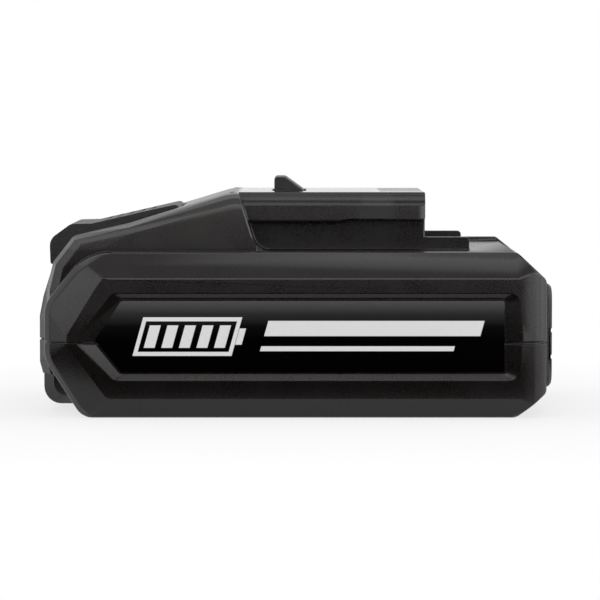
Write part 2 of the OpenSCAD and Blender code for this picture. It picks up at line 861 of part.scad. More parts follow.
// Thumb button, arm and hook in one moulding.
module release_latch() {
    color([0.13, 0.13, 0.14])
    difference() {
        union() {
            difference() {
                slab(button_y)
                    polygon(rounded(button_corners, 6));
                slab(button_y - latch_t)
                    polygon([
                        [button_x0 + 5.2, button_low - 1], [button_x0 + 5.2, button_line(lip_x) - latch_t],
                        [lip_x, button_line(lip_x) - latch_t],
                        [button_x1 - latch_t, button_line(button_x1 - latch_t) - latch_t],
                        [button_x1 - latch_t, button_low - 1]
                    ]);
            }
            block(button_x0 + 3.3, button_x0 + 5.3, -button_y, button_y, notch_z - 2.4, button_low + 1);
            for (y = [-spring_y, spring_y])
                translate([spring_x, y, 0]) {
                    translate([0, 0, pad_z])
                        cylinder(r = coil_r + 1, h = button_line(spring_x) - pad_z - 1);
                    translate([0, 0, pad_z - 2.5])
                        cylinder(r = peg_r, h = 3);
                }
            block(button_x1 - 1, well_x0 + 1, -8, 8, arm_z0, arm_z1);
            block(button_x1 - 1, well_x0 + 1, -1, 1, arm_z0 - 3, arm_z0 + 1);
            difference() {
                block(well_x0, well_x1, -well_y, well_y, arm_z0, ceil_z - 0.2);
                block(well_x0 + 1.8, well_x1 - 1.8, -well_y + 1.8, well_y - 1.8, arm_z0 - 1, ceil_z - 2.2);
            }
            slab(hook_y)
                polygon([
                    [hook_x, ceil_z - 1], [hook_x, top_z + hook_h - 0.4], [hook_x + 0.4, top_z + hook_h],
                    [hook_x + hook_flat, top_z + hook_h], [hook_end, top_z + 0.1], [hook_end, ceil_z - 1]
                ]);
        }
        // Grip lines across the button.
        for (i = [0 : 4])
            slab(button_y - 4)
                translate([lip_x + 3 + i * 2.6, button_line(lip_x + 3 + i * 2.6)])
                    circle(d = 0.9, $fn = 16);
    }
}

turns = 7;
rings = 8 * turns;
spring_z0 = tray_z + 0.05;
spring_z1 = pad_z - 0.05;
end_pitch = wire_d + 0.5;
mid_pitch = (spring_z1 - spring_z0 - wire_d - 2 * end_pitch) / (turns - 2);

function coil_z(t) = spring_z0 + wire_d / 2
    + end_pitch * min(t, 1)
    + mid_pitch * min(max(t - 1, 0), turns - 2)
    + end_pitch * max(t - turns + 1, 0);

function coil_point(i) = [coil_r * cos(45 * i), coil_r * sin(45 * i), coil_z(i / 8)];

function coil_ring(i) =
    let (
        out = [cos(45 * i), sin(45 * i), 0],
        run = unit(coil_point(min(i + 1, rings)) - coil_point(max(i - 1, 0))),
        up = unit(cross(out, run))
    )
    [for (k = [0 : 5]) coil_point(i) + wire_d / 2 * (cos(60 * k) * out + sin(60 * k) * up)];

least_gap = min([for (i = [0 : rings - 8]) norm(coil_point(i + 8) - coil_point(i))]) - wire_d;
echo(least_spring_gap = least_gap);

module coil() {
    points = [for (i = [0 : rings]) each coil_ring(i)];
    last = rings * 6;
    start_cap = [for (k = [1 : 4]) [0, k + 1, k]];
    end_cap = [for (k = [1 : 4]) [last, last + k, last + k + 1]];
    sides = [
        for (i = [0 : rings - 1], k = [0 : 5])
            let (a = i * 6 + k, b = i * 6 + (k + 1) % 6)
            each [[a, b, b + 6], [a, b + 6, a + 6]]
    ];
    polyhedron(points, concat(start_cap, sides, end_cap), convexity = 8);
}

module latch_spring_right() {
    color([0.72, 0.72, 0.75])
        translate([spring_x, -spring_y, 0])
            coil();
}

module latch_spring_left() {
    color([0.72, 0.72, 0.75])
        translate([spring_x, spring_y, 0])
            coil();
}

module terminal_block() {
    color([0.18, 0.18, 0.20])
    difference() {
        block(block_x0, block_x1, -block_y, block_y, board_top, block_z1);
        both_sides()
            block(block_x0 + 1.6, block_x1 + 1, power_y - 2.6, power_y + 2.6, board_top - 1, block_z1 - 1.5);
        for (y = signal_ys)
            block(block_x0 + 1.6, block_x1 + 1, y - 1.6, y + 1.6, board_top - 1, block_z1 - 1.5);
        blade_slots(block_x1 + 1);
    }
}

// Spring contact with two leaves that close towards the blade.
module contact(y, spread) {
    x0 = block_x0 + 2.4;
    leaf = [
        [x0, spread - contact_t], [x0 + leaf_l * 0.44, spread - contact_t], [x0 + leaf_l * 0.8, blade_gap],
        [x0 + leaf_l, spread - contact_t], [x0 + leaf_l, spread], [x0 + leaf_l * 0.8, blade_gap + contact_t],
        [x0 + leaf_l * 0.44, spread], [x0, spread]
    ];
    translate([0, y, 0]) {
        both_sides()
            translate([0, 0, rail_low - 5])
                linear_extrude(6)
                    polygon(leaf);
        block(x0, x0 + contact_t, -spread, spread, board_top, rail_low + 1);
        block(x0, x0 + leaf_l * 0.35, -spread, spread, board_top, board_top + contact_t);
    }
}

module contact_positive() {
    color([0.80, 0.55, 0.30])
        contact(-power_y, power_half);
}

module contact_negative() {
    color([0.80, 0.55, 0.30])
        contact(power_y, power_half);
}

module signal_contacts() {
    color([0.82, 0.62, 0.32])
        for (y = signal_ys)
            contact(y, signal_half);
}

module circuit_board() {
    color([0.06, 0.28, 0.16])
    difference() {
        translate([0, 0, board_z])
            linear_extrude(board_t)
                polygon(rounded([
                    [board_x0, -board_y, 2], [board_x0, board_y, 2], [board_x1, board_y, 2],
                    [board_x1, -board_y, 2]
                ], 4));
        for (s = board_spots)
            translate([s[0], s[1] * board_screw_y, board_z - 1])
                cylinder(d = 2.6, h = board_t + 2);
    }
}

module board_screws() {
    color([0.60, 0.60, 0.62])
    for (s = board_spots)
        translate([s[0], s[1] * board_screw_y, board_top])
            difference() {
                union() {
                    cylinder(d = 4, h = 1.4);
                    translate([0, 0, -board_t - post_h + 0.4])
                        cylinder(d = 2, h = board_t + post_h);
                }
                for (a = [0, 90])
                    rotate([0, 0, a])
                        block(-1.3, 1.3, -0.3, 0.3, 0.6, 2);
            }
}

// Flat-tab transistors in a row behind the terminal block.
module power_transistors() {
    color([0.10, 0.10, 0.10])
    for (i = [-1, 0, 1])
        translate([block_x1 + 5, i * (chip_w + chip_gap), board_top]) {
            difference() {
                block(0, chip_l, -chip_w / 2, chip_w / 2, 0, chip_h);
                translate([chip_l * 0.82, chip_w * 0.34, chip_h - 0.2])
                    cylinder(d = 1, h = 1);
            }
            block(-1.6, 0.2, -chip_w / 2, chip_w / 2, 0, chip_h * 0.27);
            for (s = [-1, 1])
                translate([chip_l, s * chip_w / 4, 0])
                    block(-0.2, 2, -0.5, 0.5, 0, chip_h * 0.18);
        }
}

module control_chip() {
    foot = control_t * 0.14;
    leg = 0.4;
    color([0.08, 0.08, 0.09])
    translate([0, 0, board_top]) {
        difference() {
            block(-control_w / 2, control_w / 2, -control_w / 2, control_w / 2, foot, foot + control_t);
            translate([-control_w * 0.38, -control_w * 0.38, control_t])
                cylinder(d = 1, h = 1);
        }
        for (i = [-3.5 : 3.5], a = [0, 90])
            rotate([0, 0, a])
                translate([0, i * control_w / 10, 0])
                    block(-control_w * 0.62, control_w * 0.62, -leg / 2, leg / 2, 0, leg);
    }
}

// Bridge of sheet metal that measures the current.
module current_shunt() {
    t = shunt_h / 3;
    color([0.70, 0.66, 0.60])
    plate(control_w, control_w + shunt_w)
        translate([-control_w * 1.4, board_top])
            polygon([
                [-shunt_l / 2, 0], [-shunt_l / 2, t], [-shunt_l / 3, t], [-shunt_l / 4, shunt_h],
                [shunt_l / 4, shunt_h],
                [shunt_l / 3, t], [shunt_l / 2, t], [shunt_l / 2, 0], [shunt_l / 3 - t / 2, 0],
                [shunt_l / 4 - t / 2, shunt_h - t], [-shunt_l / 4 + t / 2, shunt_h - t],
                [-shunt_l / 3 + t / 2, 0]
            ]);
}

module thermistor() {
    color([0.20, 0.22, 0.45])
    translate([pitch / 2, 12, tray_z]) {
        translate([-2, 0, 0.9])
            rotate([0, 90, 0])
                cylinder(r = 0.85, h = 4);
        block(-2, 2, -0.6, 0.6, 0, 0.6);
        for (x = [-1.2, 1.2])
            translate([x, 0, 0.9])
                cylinder(r = 0.3, h = post_h - 0.9);
    }
}

module holder_profile() {
    difference() {
        union() {
            for (i = [1 : 5])
                translate([cell_x(i), cell_z])
                    circle(r = holder_r);
            translate([-2 * pitch - 7, tray_z - 2.4])
                square([4 * pitch + 14, 2.4]);
            translate([-2 * pitch - 5, cell_z - holder_r])
                square([4 * pitch + 10, 2.4]);
        }
        for (i = [1 : 5])
            translate([cell_x(i), cell_z])
                circle(r = cell_r + bore_gap);
    }
}

module tray_profile() {
    difference() {
        translate([-2 * pitch - 7, tray_z - 2])
            square([4 * pitch + 14, 2]);
        for (i = [1 : 5])
            translate([cell_x(i), cell_z])
                circle(r = cell_r + bore_gap);
    }
}

// One half of the cell holder, on the near side.
module holder() {
    end_y = cell_l / 2 - 0.2;
    difference() {
        union() {
            plate(-end_y, -end_y + holder_grip)
                holder_profile();
            plate(-end_y + holder_grip - 0.5, -0.15)
                tray_profile();
            for (s = [-pitch, pitch])
                translate([s, -board_screw_y, tray_z])
                    cylinder(r = 2.6, h = post_h);
            translate([spring_x, -spring_y, tray_z])
                cylinder(r = peg_r, h = 2.5);
        }
        for (s = [-pitch, pitch])
            translate([s, -board_screw_y, tray_z + 0.3])
                cylinder(d = 2.1, h = post_h + 1);
    }
}

module cell_holder_right() {
    color([0.30, 0.31, 0.33])
        holder();
}

module cell_holder_left() {
    color([0.30, 0.31, 0.33])
        mirror([0, 1, 0])
            holder();
}

cap_h = 0.6;

// Round cell lying across the pack; its cap points to the near side when s is 1.
module cell(i, s) {
    color([0.16, 0.42, 0.62])
    translate([cell_x(i), 0, cell_z])
        rotate([s * 90, 0, 0])
            translate([0, 0, -cell_l / 2])
                rotate_extrude()
                    polygon([
                        [0, 0], [cell_r - 0.4, 0], [cell_r, 0.4], [cell_r, cell_l - cap_h - 4.2],
                        [cell_r - 0.5, cell_l - cap_h - 3.6], [cell_r - 0.5, cell_l - cap_h - 2.8],
                        [cell_r, cell_l - cap_h - 2.2], [cell_r, cell_l - cap_h - 0.4],
                        [cell_r - 0.4, cell_l - cap_h],
                        [4.2, cell_l - cap_h], [4, cell_l], [0, cell_l]
                    ]);
}

module cell_1() { cell(1, 1); }
module cell_2() { cell(2, -1); }
module cell_3() { cell(3, 1); }
module cell_4() { cell(4, -1); }
module cell_5() { cell(5, 1); }

module cell_insulators() {
    color([0.85, 0.85, 0.80])
    for (i = [1 : 5])
        translate([cell_x(i), 0, cell_z])
            rotate([i % 2 == 1 ? 90 : -90, 0, 0])
                translate([0, 0, cell_l / 2 - cap_h])
                    difference() {
                        cylinder(r = cell_r - 0.5, h = 0.25);
                        translate([0, 0, -1])
                            cylinder(r = 4.8, h = 3);
                    }
}

// Nickel strip over one or two cell ends on the near side, with a tongue folded on to the board.
module strip(x0, x1, tx) {
    color([0.78, 0.78, 0.74])
    union() {
        plate(-cell_l / 2 - link_t, -cell_l / 2)
            polygon(rounded([
                [x0 - link_w / 2, cell_z - link_w / 2, 2], [x0 - link_w / 2, cell_z + link_w / 2, 2],
                [x1 + link_w / 2, cell_z + link_w / 2, 2], [x1 + link_w / 2, cell_z - link_w / 2, 2]
            ], 4));
        block(tx - tongue_w / 2, tx + tongue_w / 2, -cell_l / 2 - link_t, -cell_l / 2, cell_z,
            board_top + link_t);
        block(tx - tongue_w / 2, tx + tongue_w / 2, -cell_l / 2 - link_t, -tongue_y, board_top,
            board_top + link_t);
    }
}

module tab_positive() { strip(cell_x(1), cell_x(1) + 6, cell_x(1) + 7); }
module link_2_3() { strip(cell_x(2), cell_x(3), cell_x(2) + pitch / 2); }
module link_4_5() { strip(cell_x(4), cell_x(5), cell_x(4) + pitch / 2); }
module link_1_2() { mirror([0, 1, 0]) strip(cell_x(1), cell_x(2), cell_x(1) + pitch / 2); }
module link_3_4() { mirror([0, 1, 0]) strip(cell_x(3), cell_x(4), cell_x(3) + pitch / 2); }
module tab_negative() { mirror([0, 1, 0]) strip(cell_x(5) - 2, cell_x(5), cell_x(5)); }

module floor_foam() {
    color([0.25, 0.25, 0.27])
        block(-2 * pitch - 5, 2 * pitch + 5, -in_y + 1.4, in_y - 1.4, wall, wall + foam_t);
}

lower_shell();
upper_shell();
rear_bumper();
label_right();
label_left();
housing_screws();
release_latch();
latch_spring_right();
latch_spring_left();
terminal_block();
contact_positive();
contact_negative();
signal_contacts();
circuit_board();
board_screws();
power_transistors();
control_chip();
current_shunt();
thermistor();
cell_holder_right();
cell_holder_left();
cell_1();
cell_2();
cell_3();
cell_4();
cell_5();
cell_insulators();
tab_positive();
link_1_2();
link_2_3();
link_3_4();
link_4_5();
tab_negative();
floor_foam();
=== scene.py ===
import json
import math

import bmesh
import bpy
import numpy as np
from mathutils import Euler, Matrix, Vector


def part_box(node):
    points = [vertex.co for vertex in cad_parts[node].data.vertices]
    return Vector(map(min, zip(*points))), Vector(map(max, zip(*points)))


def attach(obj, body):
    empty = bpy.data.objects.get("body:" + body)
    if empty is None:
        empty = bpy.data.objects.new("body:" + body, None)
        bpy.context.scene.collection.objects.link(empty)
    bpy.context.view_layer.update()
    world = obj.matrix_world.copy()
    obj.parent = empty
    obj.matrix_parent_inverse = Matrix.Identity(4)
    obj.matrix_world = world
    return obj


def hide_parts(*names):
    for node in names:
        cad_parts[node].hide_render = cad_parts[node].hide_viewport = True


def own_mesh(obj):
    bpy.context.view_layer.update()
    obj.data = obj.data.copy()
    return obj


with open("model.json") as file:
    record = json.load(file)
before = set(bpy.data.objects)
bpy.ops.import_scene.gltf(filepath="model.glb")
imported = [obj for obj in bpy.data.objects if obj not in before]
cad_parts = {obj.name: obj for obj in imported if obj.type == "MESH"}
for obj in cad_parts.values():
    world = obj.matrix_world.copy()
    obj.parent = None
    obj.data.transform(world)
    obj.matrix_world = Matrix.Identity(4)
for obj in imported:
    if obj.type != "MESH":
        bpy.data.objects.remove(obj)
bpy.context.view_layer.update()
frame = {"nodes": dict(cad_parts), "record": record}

nodes = frame["nodes"]
mm = 0.001
scene = bpy.context.scene
scene.view_settings.view_transform = "Standard"
print("frame loaded:", len(nodes), "nodes")

# camera: almost level, a little above the hook
cameraView = {
    "place": (0.001, -0.738, 0.068),
    "tiltDown": 3.389,      # degrees below level
    "lens": 190.14,         # mm
    "sensor": 36,           # mm
    "nearest": 0.01,        # metres
}


def makeCamera(view):
    data = bpy.data.cameras.new("camera")
    data.lens = view["lens"]
    data.sensor_width = view["sensor"]
    data.clip_start = view["nearest"]
    camera = bpy.data.objects.new("camera", data)
    camera.location = view["place"]
    camera.rotation_euler = (math.radians(90 - view["tiltDown"]), 0, 0)
    scene.collection.objects.link(camera)
    scene.camera = camera


makeCamera(cameraView)


# shader sums: a Wire is one socket, and + - * / on it add Math nodes
class Wire:
    def __init__(self, sheet, socket):
        self.sheet = sheet
        self.socket = socket

    def other(self, name):                  # another output of the same node
        return Wire(self.sheet, self.socket.node.outputs[name])

    def math(self, operation, *values, clamp=False):
        settings = {"operation": operation, "use_clamp": clamp}
        return self.sheet.node("ShaderNodeMath", settings, dict(enumerate(values)))

    def __add__(self, value):
        return self.math("ADD", self, value)

    def __radd__(self, value):
        return self.math("ADD", value, self)

    def __sub__(self, value):
        return self.math("SUBTRACT", self, value)

    def __rsub__(self, value):
        return self.math("SUBTRACT", value, self)

    def __mul__(self, value):
        return self.math("MULTIPLY", self, value)

    def __rmul__(self, value):
        return self.math("MULTIPLY", value, self)

    def __truediv__(self, value):
        return self.math("DIVIDE", self, value)

    def __mod__(self, value):
        return self.math("FLOORED_MODULO", self, value)

    def __abs__(self):
        return self.math("ABSOLUTE", self)

    def most(self, value):
        return self.math("MAXIMUM", self, value)

    def above(self, edge, soft):            # 0 below the edge, 1 above it, over a soft width
        return self.math("ADD", (self - edge) / soft, 0.5, clamp=True)

    def near(self, middle, half, soft):     # 1 within half a width of the middle, 0 outside
        return 1 - abs(self - middle).above(half, soft)


# a node tree that materials and the world are written on
class Sheet:
    def __init__(self, tree):
        self.tree = tree
        tree.nodes.clear()

    def node(self, kind, settings=None, sockets=None):
        made = self.tree.nodes.new(kind)
        for key, value in (settings or {}).items():
            if key == "stops":
                self.setStops(made.color_ramp.elements, value)
            else:
                setattr(made, key, value)
        for key, value in (sockets or {}).items():
            if isinstance(value, Wire):
                self.tree.links.new(value.socket, made.inputs[key])
            else:
                made.inputs[key].default_value = value
        return Wire(self, made.outputs[0]) if made.outputs else None

    def setStops(self, elements, stops):
        while len(elements) < len(stops):
            elements.new(0.5)
        for element, (position, tone) in zip(elements, stops):
            element.position = position
            element.color = (*tone, 1)

    def place(self):                        # Object coordinates, in metres
        return self.node("ShaderNodeTexCoord").other("Object")

    def axes(self):
        parts = self.node("ShaderNodeSeparateXYZ", {}, {0: self.place()})
        return parts.other("X"), parts.other("Y"), parts.other("Z")

    def stretched(self, scale):
        return self.node("ShaderNodeMapping", {}, {"Vector": self.place(), "Scale": scale})

    def noise(self, size, detail=2, rough=0.5, where=None):     # clouds about size metres wide
        sockets = {"Vector": where or self.place(), "Scale": 1 / size, "Detail": detail, "Roughness": rough}
        return self.node("ShaderNodeTexNoise", {}, sockets)

    def pores(self, size):
        return self.node("ShaderNodeTexVoronoi", {}, {"Vector": self.place(), "Scale": 1 / size})

    def mix(self, share, first, second):    # of two colours
        settings = {"data_type": "RGBA"}
        sockets = {0: share, 6: self.colour(first), 7: self.colour(second)}
        return self.node("ShaderNodeMix", settings, sockets).other(2)

    def colour(self, tone):
        return tone if isinstance(tone, Wire) else (*tone, 1)

    def bump(self, height, depth, strength=1.0):
        sockets = {"Height": height, "Distance": depth, "Strength": strength}
        return self.node("ShaderNodeBump", {}, sockets)

    def output(self, shader):
        self.node("ShaderNodeOutputMaterial", {}, {"Surface": shader})


def newFinish(name, build, look):
    material = bpy.data.materials.new(name)
    material.use_nodes = True
    sheet = Sheet(material.node_tree)
    sheet.output(build(sheet, look))
    return material


# wear and painted light: polished rail tops; rail faces scuffed and lightened with a painted highlight; dust
# and a painted highlight on the shoulder, lighter towards the crest; a painted highlight on the ledge under
# the label; a pale painted reflection on the rail
def railWearAndPaintedLight(sheet, wear, tone, rough, cloud):
    across, along, up = sheet.axes()
    out = abs(along)
    rails = across.above(*wear["railFrom"])             # 1 along the rails, 0 on the shoulder
    high = up.above(*wear["railLow"])
    top = rails * up.above(*wear["polishLow"])
    # rail faces: scuffs and a painted highlight
    face = rails * high * out.near(*wear["railFace"])
    # a pale spot on the rail: a painted reflection
    spot = high * out.above(*wear["spotOut"]) * across.near(*wear["spotLength"])
    # the ledge under the label: a painted highlight
    paintedLedgeHighlight = up.near(*wear["ledgeHeight"]) * out.above(*wear["ledgeOut"]) * across.near(*wear["ledgeLength"])
    # the shoulder: dust, with a painted highlight that grows towards the crest
    shoulder = up.above(*wear["deck"]) * out.above(*wear["shoulderOut"])
    shoulder = shoulder * (wear["dusty"] + up.above(*wear["crestLow"]))
    # dust, scuffs, painted highlights and the painted reflection, all mixed towards one pale tone
    dustAndPaintedLight = shoulder + paintedLedgeHighlight + face * wear["scuffed"] + spot * wear["spotted"]
    dustAndPaintedLight = dustAndPaintedLight * (wear["dustLeast"] + cloud * wear["dustSpread"])
    return sheet.mix(dustAndPaintedLight, tone, wear["dustTone"]), rough - top * wear["polished"]


# moulded plastic: spark-eroded grain, cloudy tone, a few paler flecks of fibre
def mouldedPlastic(sheet, look):
    cloud = sheet.noise(look["cloud"], detail=3)
    grain = sheet.noise(look["grain"], detail=2, rough=0.6)
    fleck = sheet.noise(look["grain"] * look["fleckSize"], detail=1).above(*look["fleckFrom"])
    tone = sheet.mix(cloud, look["dark"], look["light"])
    tone = sheet.mix(fleck * look["flecks"], tone, look["fleckTone"])
    rough = look["rough"] + (cloud - 0.5) * look["cloudRough"] + (grain - 0.5) * look["grainRough"]
    # the housing also takes wear and painted light: dust, scuffs, painted highlights and a painted reflection
    if "wear" in look:
        tone, rough = railWearAndPaintedLight(sheet, look["wear"], tone, rough, cloud)
    normal = sheet.bump(grain + cloud * look["cloudRise"], look["depth"])
    return sheet.node("ShaderNodeBsdfPrincipled", {}, {
        "Base Color": tone, "Roughness": rough, "Normal": normal, "IOR": look["ior"],
    })


# drawn or rolled metal: fine lines along one axis, dulled in patches
def workedMetal(sheet, look):
    lines = sheet.noise(look["grain"], detail=3, where=sheet.stretched(look["stretch"]))
    patch = sheet.noise(look["patch"], detail=4, rough=0.6)
    dull = patch.above(*look["dullFrom"])
    tone = sheet.mix(lines, look["dark"], look["light"])
    tone = sheet.mix(dull * look["dullShare"], tone, look["dullTone"])
    rough = look["rough"] + (lines - 0.5) * look["lineRough"] + dull * look["dullRough"]
    return sheet.node("ShaderNodeBsdfPrincipled", {}, {
        "Base Color": tone, "Roughness": rough, "Metallic": 1.0,
        "Normal": sheet.bump(lines, look["depth"]),
    })


# side label: black film painted lighter towards the top as a painted reflection, a cell pictogram and two
# stripes, under a gloss coat
def labelFilm(sheet, look):
    across, _, up = sheet.axes()
    # painted reflection: the film runs from black at the bottom to grey at the top
    fade = sheet.node("ShaderNodeValToRGB", {"stops": look["fade"]}, {0: (up - look["low"]) / look["high"]})
    grain = sheet.noise(look["grain"], detail=1)
    lean = across - (up - look["middle"]) * look["slant"]
    level = up - look["middle"]

    def bar(middle, width, centre, height):         # a slanted bar, 1 inside and 0 outside
        side = abs(lean - middle) - width / 2
        edge = abs(level - centre) - height / 2
        return 1 - side.most(edge).above(0, look["sharp"])

    centre, width, height, line = look["caseX"], look["caseW"], look["caseH"], look["line"]
    case = bar(centre, width, 0, height)
    hollow = bar(centre, width - 2 * line, 0, height - 2 * line)
    nub = bar(centre + width / 2 + line * look["nubOut"], line * look["nubW"], 0, height * look["nubH"])
    printed = (case - hollow).most(nub)
    step = look["cellStep"]
    for place in (-2, -1, 0, 1, 2):                 # five cells
        printed = printed.most(bar(centre + place * step, step * look["cellW"], 0, height - 4 * line))
    for stripe in look["stripes"]:
        printed = printed.most(bar(*stripe))
    ink = sheet.mix(grain, look["inkDark"], look["inkLight"])
    tone = sheet.mix(printed, fade, ink)
    rough = look["rough"] + printed * look["inkRough"] + (grain - 0.5) * look["grainRough"]
    ripple = sheet.noise(look["ripple"], detail=1)
    return sheet.node("ShaderNodeBsdfPrincipled", {}, {
        "Base Color": tone, "Roughness": rough, "IOR": look["ior"],
        "Normal": sheet.bump(ripple + printed * look["inkRise"], look["depth"], look["rippleShare"]),
        "Coat Weight": look["coat"], "Coat Roughness": look["coatRough"],
    })


# circuit board: green resist over paler copper tracks
def boardLaminate(sheet, look):
    across, along, _ = sheet.axes()
    pitch = look["trackPitch"]
    weave = sheet.noise(look["weave"], detail=2)
    field = sheet.pores(look["field"]).other("Color")           # each field's tracks run one way
    picked = sheet.node("ShaderNodeSeparateColor", {}, {0: field}).above(0.5, 0.02)
    lines = abs(across % pitch - pitch / 2) * (1 - picked) + abs(along % pitch - pitch / 2) * picked
    track = 1 - lines.above(pitch * look["trackHalf"], pitch * look["trackSoft"])
    tone = sheet.mix(weave, look["dark"], look["light"])
    tone = sheet.mix(track * look["trackShare"], tone, look["trackTone"])
    return sheet.node("ShaderNodeBsdfPrincipled", {}, {
        "Base Color": tone, "Roughness": look["rough"] + weave * look["weaveRough"],
        "Normal": sheet.bump(track + weave * look["weaveRise"], look["depth"]),
    })


# round cell: shrink wrap along its length, bare steel at both ends
def cellWrap(sheet, look):
    _, along, _ = sheet.axes()
    bare = abs(along).above(*look["wrapEnd"])
    crinkle = sheet.noise(look["crinkle"], detail=3, where=sheet.stretched(look["stretch"]))
    wrap = sheet.mix(crinkle, look["dark"], look["light"])
    tone = sheet.mix(bare, wrap, look["steel"])
    return sheet.node("ShaderNodeBsdfPrincipled", {}, {
        "Base Color": tone, "Metallic": bare,
        "Roughness": look["rough"] + (crinkle - 0.5) * look["crinkleRough"],
        "Normal": sheet.bump(crinkle, look["depth"]),
    })


# pressed fibre or foam: soft pores and pale and dark threads
def porous(sheet, look):
    pore = sheet.pores(look["pore"])
    thread = sheet.noise(look["pore"] * look["threadSize"], detail=4, rough=0.7)
    tone = sheet.mix(pore, look["dark"], look["light"])
    tone = sheet.mix(thread * look["threadShare"], tone, look["threadTone"])
    return sheet.node("ShaderNodeBsdfPrincipled", {}, {
        "Base Color": tone, "Roughness": look["rough"] + (pore - 0.5) * look["poreRough"],
        "Normal": sheet.bump(pore + thread, look["depth"]),
    })


# each finish has its usual values here, and a pair such as fleckFrom is an edge and its soft width
def plasticLook(dark, light, **changes):
    look = {
        "dark": dark, "light": light, "fleckTone": tuple(2.5 * part for part in light),
        "flecks": 0.35, "fleckSize": 2.2, "fleckFrom": (0.72, 0.06),
        "cloud": 9 * mm, "cloudRough": 0.10, "cloudRise": 0.5,
        "grain": 0.36 * mm, "grainRough": 0.16, "depth": 0.014 * mm, "rough": 0.29, "ior": 1.48,
    }
    return look | changes


def metalLook(dark, light, dullTone, **changes):
    look = {
        "dark": dark, "light": light, "dullTone": dullTone, "grain": 0.25 * mm, "stretch": (1, 0.08, 1),
        "patch": 3 * mm, "dullFrom": (0.62, 0.25), "dullShare": 0.7, "dullRough": 0.18,
        "rough": 0.30, "lineRough": 0.12, "depth": 0.01 * mm,
    }
    return look | changes


def porousLook(dark, light, threadTone, **changes):
    look = {
        "dark": dark, "light": light, "threadTone": threadTone, "threadSize": 3, "threadShare": 0.4,
        "rough": 0.8, "poreRough": 0.2,
    }
    return look | changes


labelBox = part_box("label_right")
labelLook = {
    "low": labelBox[0].z, "high": labelBox[1].z - labelBox[0].z,
    "middle": (labelBox[0].z + labelBox[1].z) / 2,
    # painted reflection: black low on the label, grey at the top
    "fade": [
        (0.0, (0.0006, 0.0006, 0.0006)), (0.46, (0.0008, 0.0008, 0.0008)), (0.64, (0.004, 0.004, 0.004)),
        (0.82, (0.030, 0.030, 0.030)), (1.0, (0.095, 0.094, 0.094)),
    ],
    "slant": 0.28, "sharp": 0.09 * mm, "line": 0.9 * mm,
    "caseX": -24 * mm, "caseW": 22 * mm, "caseH": 8.6 * mm, "cellStep": 3.9 * mm, "cellW": 0.62,
    "nubOut": 0.9, "nubW": 1.6, "nubH": 0.42,               # in line widths, the height in case heights
    # middle, width, height above the label's middle, thickness
    "stripes": [(17 * mm, 48 * mm, 1.8 * mm, 3.4 * mm), (14.5 * mm, 43 * mm, -2.7 * mm, 1.1 * mm)],
    "inkDark": (0.82, 0.82, 0.82), "inkLight": (0.92, 0.92, 0.92), "inkRough": 0.14, "inkRise": 0.02,
    "rough": 0.14, "grain": 0.12 * mm, "grainRough": 0.04,
    "ripple": 14 * mm, "rippleShare": 0.6, "depth": 0.02 * mm,
    "coat": 0.10, "coatRough": 0.12, "ior": 1.38,
}

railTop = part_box("upper_shell")[1].z
railLook = {
    # an edge and its soft width
    "railFrom": (-13 * mm, 1 * mm), "railLow": (railTop - 6.6 * mm, 0.5 * mm),
    "polishLow": (railTop - 0.4 * mm, 0.5 * mm), "deck": (railTop - 12.6 * mm, 0.8 * mm),
    "crestLow": (railTop - 3 * mm, 6 * mm), "shoulderOut": (25.5 * mm, 5 * mm),
    "spotOut": (22 * mm, 0.5 * mm), "ledgeOut": (35.7 * mm, 0.2 * mm),
    # a middle, half a width and its soft width
    "railFace": (24 * mm, 0.4 * mm, 0.2 * mm), "spotLength": (18.5 * mm, 3.5 * mm, 1.5 * mm),
    "ledgeHeight": (9.2 * mm, 0.75 * mm, 0.2 * mm), "ledgeLength": (4 * mm, 43.3 * mm, 1 * mm),
    # the shares: polished lowers roughness only; the others lighten the tone with dust, scuffs, painted
    # highlights and a painted reflection
    "polished": 0.20, "dusty": 0.75, "scuffed": 0.5, "spotted": 0.7,
    "dustLeast": 0.7, "dustSpread": 0.6, "dustTone": (0.032, 0.030, 0.029),
}

